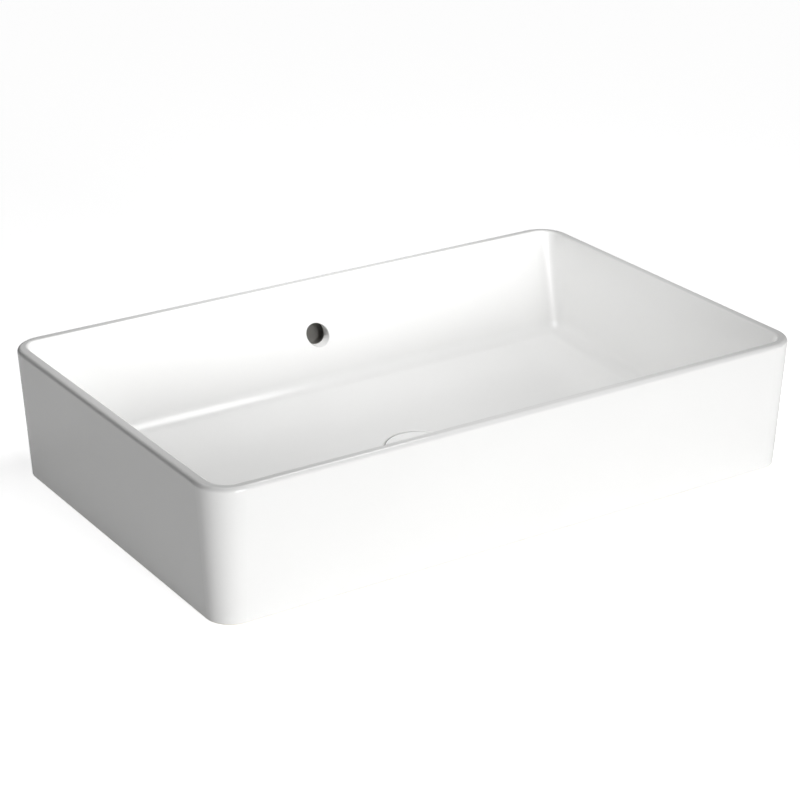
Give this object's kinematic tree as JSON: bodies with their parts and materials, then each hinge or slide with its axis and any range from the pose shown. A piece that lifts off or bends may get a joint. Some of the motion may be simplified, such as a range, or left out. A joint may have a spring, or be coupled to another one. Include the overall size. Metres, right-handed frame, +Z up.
{
  "type": "countertop basin",
  "caption": "Rectangular white ceramic countertop basin with rounded corners, thin rim, sloping back wall with overflow hole, and a push-to-open slotted waste.",
  "frame": {"origin": "centre of the underside of the basin's base ring, the plane that rests on the worktop", "axes": "+X along the basin's length, to the right as seen from its front; +Y towards the back wall with the overflow hole; +Z up"},
  "size_m": [0.5996, 0.3816, 0.1971],
  "materials": {
    "glazed_china": "white glossy glaze",
    "chromed_brass": "polished chrome plate",
    "plain_brass": "turned brass",
    "black_rubber": "moulded matt rubber",
    "white_nylon": "moulded satin nylon",
    "grey_acetal": "moulded satin acetal",
    "spring_steel": "drawn stainless wire"
  },
  "bodies": {
    "basin": {"basin_body": "glazed_china", "waste_body": "chromed_brass", "flange_gasket": "black_rubber", "tapered_washer": "black_rubber", "slip_washer": "white_nylon", "backnut": "plain_brass", "tailpiece": "chromed_brass", "tail_seal": "black_rubber", "cartridge_housing": "grey_acetal", "cartridge_cap": "white_nylon", "return_spring": "spring_steel"},
    "plug": {"plunger": "grey_acetal", "latch_rotor": "white_nylon", "stem_stud": "plain_brass", "plug_carrier": "chromed_brass", "plug_seal": "black_rubber", "cover_pad": "black_rubber", "plug_cover": "glazed_china"}
  },
  "joints": [
    {"name": "plug_slide", "type": "slide", "parent": "basin", "child": "plug", "axis": [0, 0, 1], "range_m": [0, 0.009], "deforming": ["return_spring"]}
  ]
}
